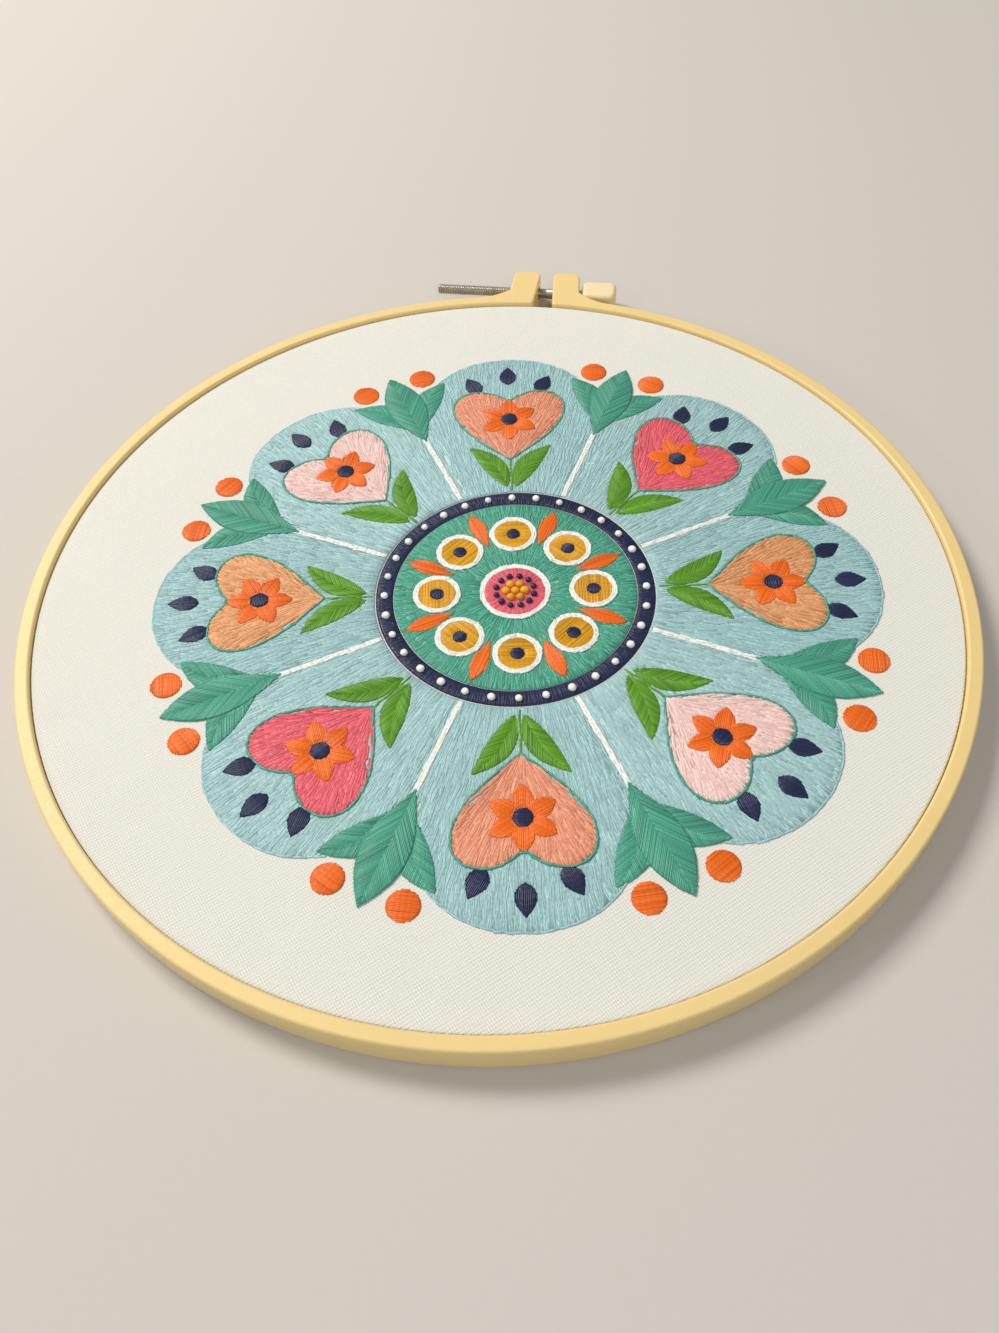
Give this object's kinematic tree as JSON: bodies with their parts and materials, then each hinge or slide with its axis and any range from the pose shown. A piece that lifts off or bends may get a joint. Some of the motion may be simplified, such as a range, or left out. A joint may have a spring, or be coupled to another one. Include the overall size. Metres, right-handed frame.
{
  "type": "embroidery hoop with embroidered cloth",
  "caption": "Round two-ring hoop holding a flat stretched cloth with a stitched rosette; a thumb screw through two lugs clamps the split outer ring.",
  "frame": {"origin": "middle of the bounding box at the level that the hoop lies on; the hoop's own centre is at y = -0.0058", "axes": "+Z out of the embroidered face, +Y towards the clamp lugs, +X towards the knob"},
  "size_m": [0.21, 0.2216, 0.0078],
  "materials": {
    "ring_plastic": "moulded, glossy side, satin face",
    "cloth_cotton": "plain weave cotton, embroidered",
    "screw_steel": "threaded, bright",
    "knob_plastic": "moulded, satin"
  },
  "bodies": {
    "hoop": {"outer_ring": "ring_plastic", "inner_ring": "ring_plastic", "cloth": "cloth_cotton"},
    "thumbscrew": {"screw": "screw_steel", "knob": "knob_plastic"}
  },
  "joints": [
    {"name": "screw_turn", "type": "hinge", "parent": "hoop", "child": "thumbscrew", "pos_m": [0, 0.1057, 0.0041], "axis": [1, 0, 0], "continuous": true}
  ]
}
